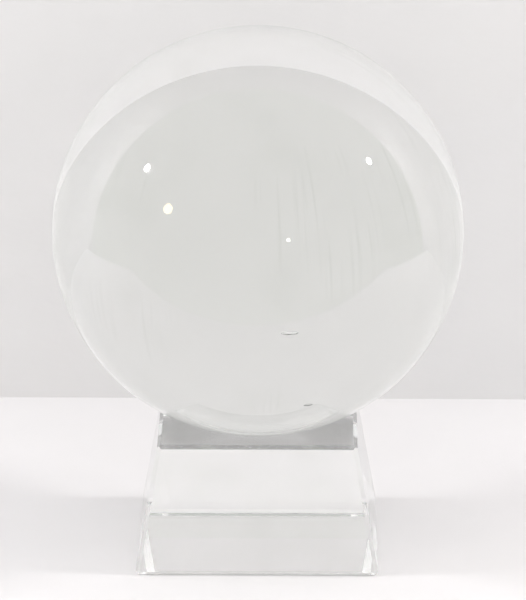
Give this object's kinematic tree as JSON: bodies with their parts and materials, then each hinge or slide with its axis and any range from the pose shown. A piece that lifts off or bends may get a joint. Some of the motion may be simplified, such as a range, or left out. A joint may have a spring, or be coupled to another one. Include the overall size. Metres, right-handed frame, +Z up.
{
  "type": "crystal ball",
  "caption": "Solid clear glass ball resting in a shallow dish ground into the top of a bevelled clear glass block; the ball lifts off.",
  "frame": {"origin": "middle of the stand's flat underside, straight below the ball's centre", "axes": "+Z up, through the ball's centre; X along the stand's wide side, Y along its narrow side"},
  "size_m": [0.1, 0.1, 0.1305],
  "materials": {
    "ball_glass": "solid clear optical glass, polished",
    "stand_glass": "solid clear optical glass, flat ground faces and bevels, polished"
  },
  "bodies": {
    "stand": {"stand": "stand_glass"},
    "ball": {"crystal_ball": "ball_glass"}
  },
  "joints": [
    {"name": "ball_lift", "type": "slide", "parent": "stand", "child": "ball", "axis": [0, 0, 1], "range_m": [0, 0.06]}
  ]
}
